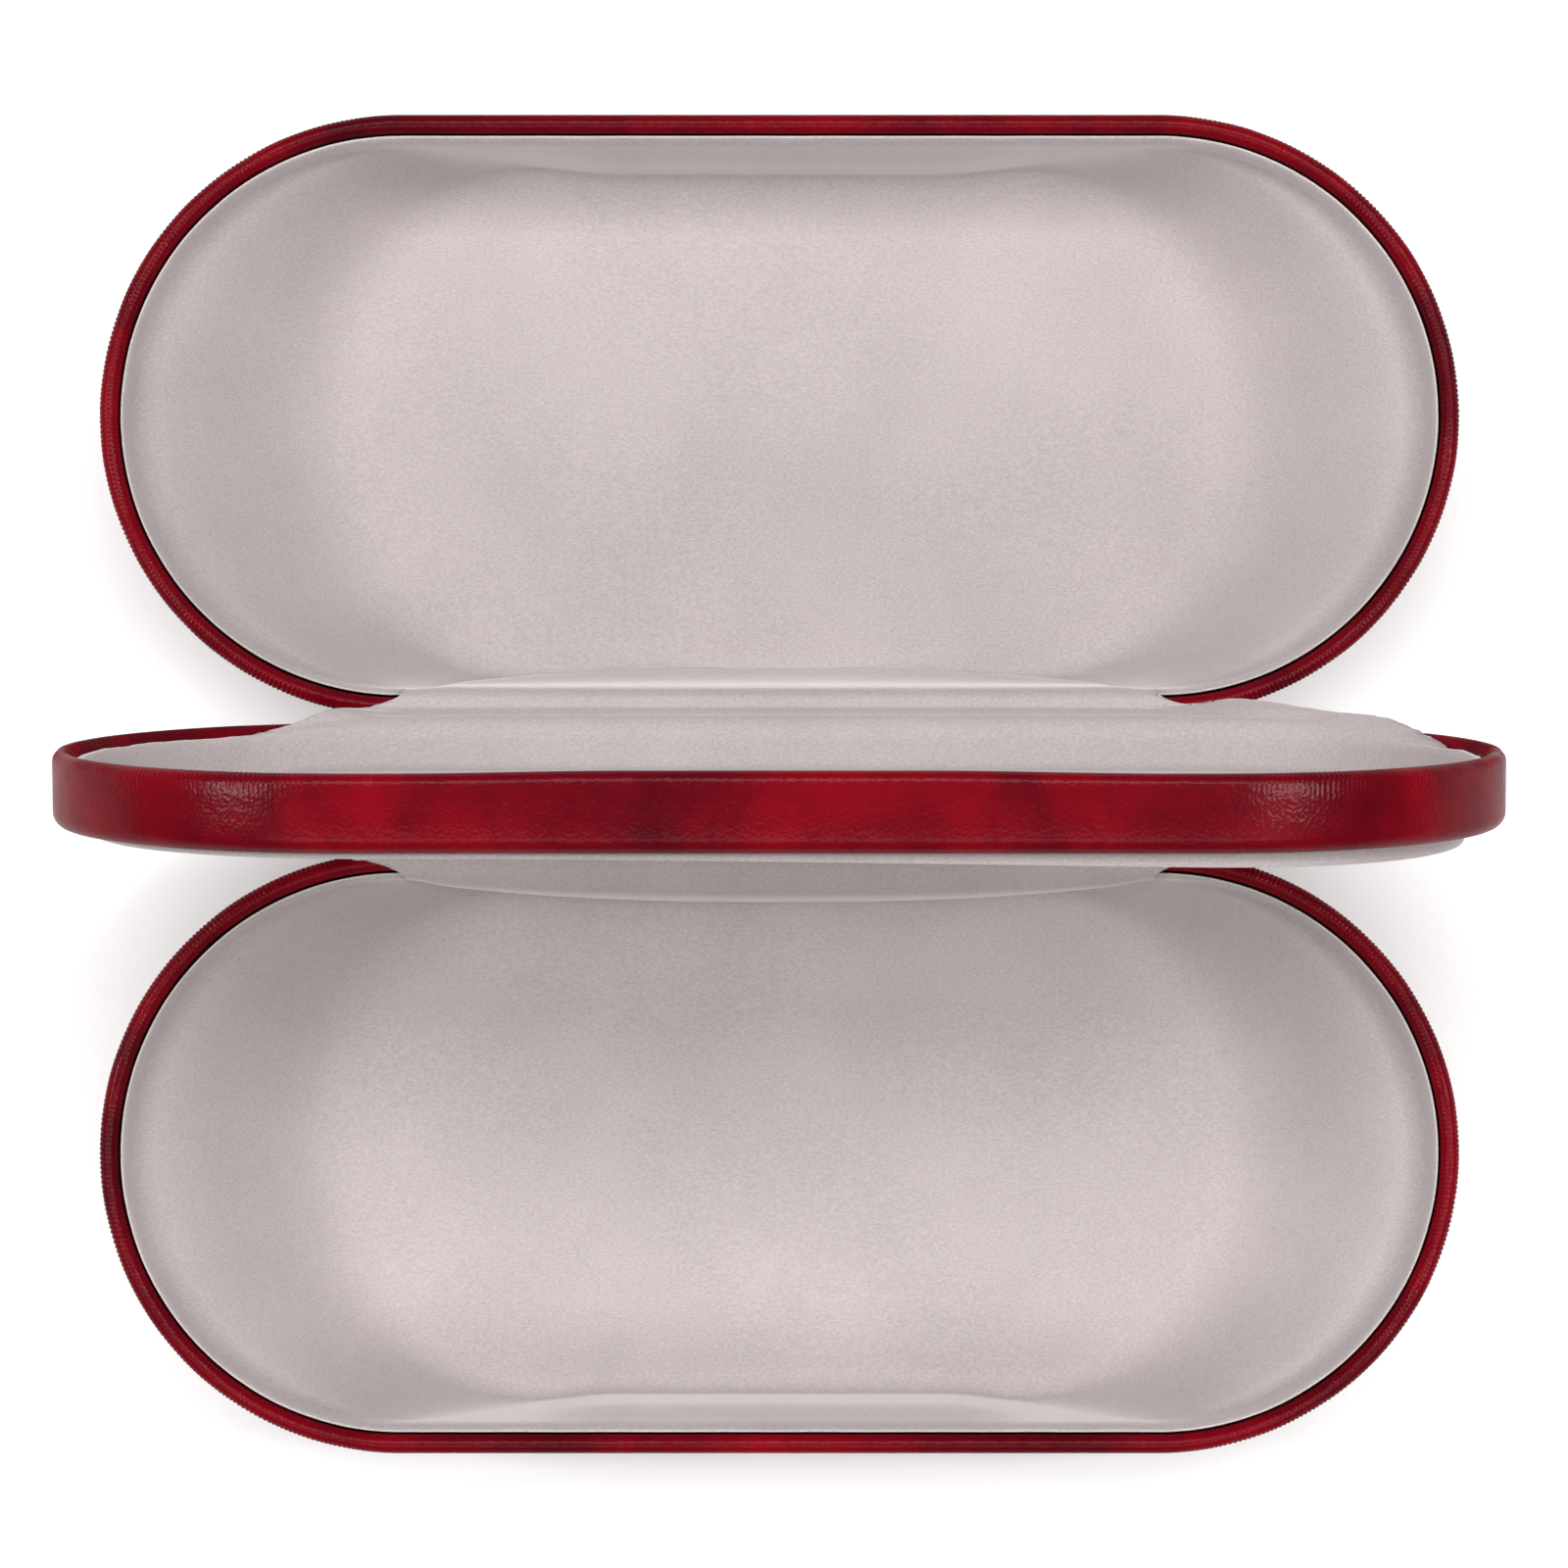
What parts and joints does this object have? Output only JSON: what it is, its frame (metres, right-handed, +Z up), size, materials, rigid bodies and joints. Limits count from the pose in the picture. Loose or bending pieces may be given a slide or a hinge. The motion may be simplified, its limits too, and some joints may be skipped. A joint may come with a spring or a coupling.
{
  "type": "double spectacle case",
  "caption": "Hard clamshell spectacle case with a deep lid on each side of a shallow middle tray, each lid hinged to the tray along its straight rear edge, shown open.",
  "frame": {"origin": "on the table midway between the two open lids, below the middle of the case's length", "axes": "+X along the case's length, +Y from the lower lid to the upper lid, +Z up, as the case lies open"},
  "size_m": [0.165, 0.1624, 0.1024],
  "materials": {
    "leatherette": "marbled red leatherette, satin, fine grain",
    "flock_lining": "warm grey flocked cloth, matt",
    "shell_steel": "thin stamped sheet, dull",
    "hinge_steel": "plated sheet and wire",
    "foam": "thin foam interlining",
    "board": "grey-brown board"
  },
  "bodies": {
    "lower_lid": {"lower_lid_cover": "leatherette", "lower_lid_shell": "shell_steel", "lower_lid_pad": "foam", "lower_lid_lining": "flock_lining", "lower_hinge_lid_leaf": "hinge_steel", "lower_hinge_pin": "hinge_steel", "lower_hinge_spring": "hinge_steel", "lower_lid_rivet_left": "hinge_steel", "lower_lid_rivet_right": "hinge_steel", "lower_lining_apron": "flock_lining", "lower_spine_strap": "leatherette"},
    "tray": {"tray_cover": "leatherette", "tray_shell": "shell_steel", "tray_lining": "flock_lining", "tray_back_board": "board", "tray_back_lining": "flock_lining", "lower_hinge_tray_leaf": "hinge_steel", "upper_hinge_tray_leaf": "hinge_steel", "tray_floor_rivet_left": "hinge_steel", "tray_floor_rivet_right": "hinge_steel", "tray_wall_rivet_left": "hinge_steel", "tray_wall_rivet_right": "hinge_steel"},
    "upper_lid": {"upper_lid_cover": "leatherette", "upper_lid_shell": "shell_steel", "upper_lid_pad": "foam", "upper_lid_lining": "flock_lining", "upper_hinge_lid_leaf": "hinge_steel", "upper_hinge_pin": "hinge_steel", "upper_hinge_spring": "hinge_steel", "upper_lid_rivet_left": "hinge_steel", "upper_lid_rivet_right": "hinge_steel", "upper_lining_apron": "flock_lining", "upper_spine_strap": "leatherette"}
  },
  "joints": [
    {"name": "lower_hinge", "type": "hinge", "parent": "lower_lid", "child": "tray", "pos_m": [0, -0.00386, 0.02442], "axis": [1, 0, 0], "range_deg": [-15, 85], "deforming": ["lower_lining_apron", "lower_spine_strap"]},
    {"name": "upper_hinge", "type": "hinge", "parent": "tray", "child": "upper_lid", "pos_m": [0, 0.00677, 0.02826], "axis": [1, 0, 0], "range_deg": [-5, 95], "deforming": ["upper_lining_apron", "upper_spine_strap"]}
  ]
}
